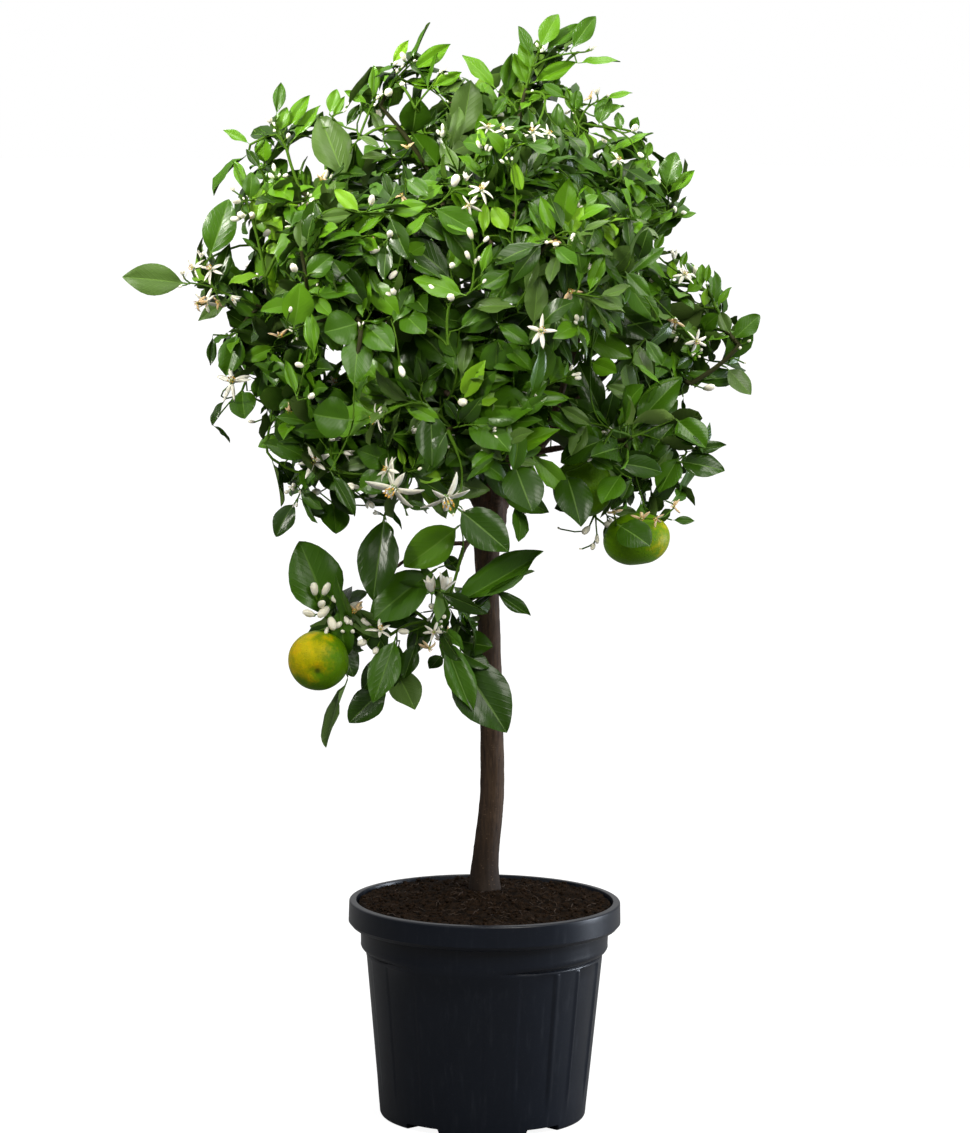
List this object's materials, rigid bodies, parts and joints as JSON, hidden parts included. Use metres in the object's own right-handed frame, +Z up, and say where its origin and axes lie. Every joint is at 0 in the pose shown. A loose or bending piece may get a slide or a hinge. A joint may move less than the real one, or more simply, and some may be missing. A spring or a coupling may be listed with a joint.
{
  "type": "potted citrus standard tree",
  "caption": "Small citrus tree grown as a standard, with a clear trunk, round flowering crown and a hanging fruiting spray, in a round nursery pot.",
  "frame": {"origin": "on the ground under the axis of the pot, at the flat underside of its floor", "axes": "+Z up along the pot's axis and the trunk; -Y is the front, the side with the hanging spray; +X to the right"},
  "size_m": [0.502, 0.4184, 0.884],
  "materials": {
    "pot": "satin near-black moulded plastic",
    "soil": "moist crumbly potting soil",
    "bark": "brown bark",
    "leaf": "glossy green leaves"
  },
  "bodies": {
    "root": {"bough_back": "bark", "bough_back_low": "bark", "bough_back_right": "bark", "bough_front": "bark", "bough_front_left": "bark", "bough_front_low": "bark", "bough_hanging": "bark", "bough_hanging_left": "bark", "bough_leader": "bark", "bough_left": "bark", "bough_low_left": "bark", "bough_low_right": "bark", "bough_right": "bark", "bough_top_front": "bark", "bough_top_left": "bark", "bough_top_right": "bark", "bough_upper_left": "bark", "bough_upper_right": "bark", "foliage_back_left": "leaf", "foliage_back_low": "leaf", "foliage_back_right": "leaf", "foliage_front_left": "leaf", "foliage_front_low": "leaf", "foliage_front_right": "leaf", "foliage_hanging_left": "leaf", "foliage_hanging_right": "leaf", "foliage_left": "leaf", "foliage_low_left": "leaf", "foliage_low_right": "leaf", "foliage_right": "leaf", "foliage_top_back": "leaf", "foliage_top_front": "leaf", "foliage_top_left": "leaf", "foliage_top_right": "leaf", "foliage_upper_left": "leaf", "foliage_upper_right": "leaf", "pot": "pot", "soil": "soil", "trunk": "bark"}
  },
  "joints": []
}
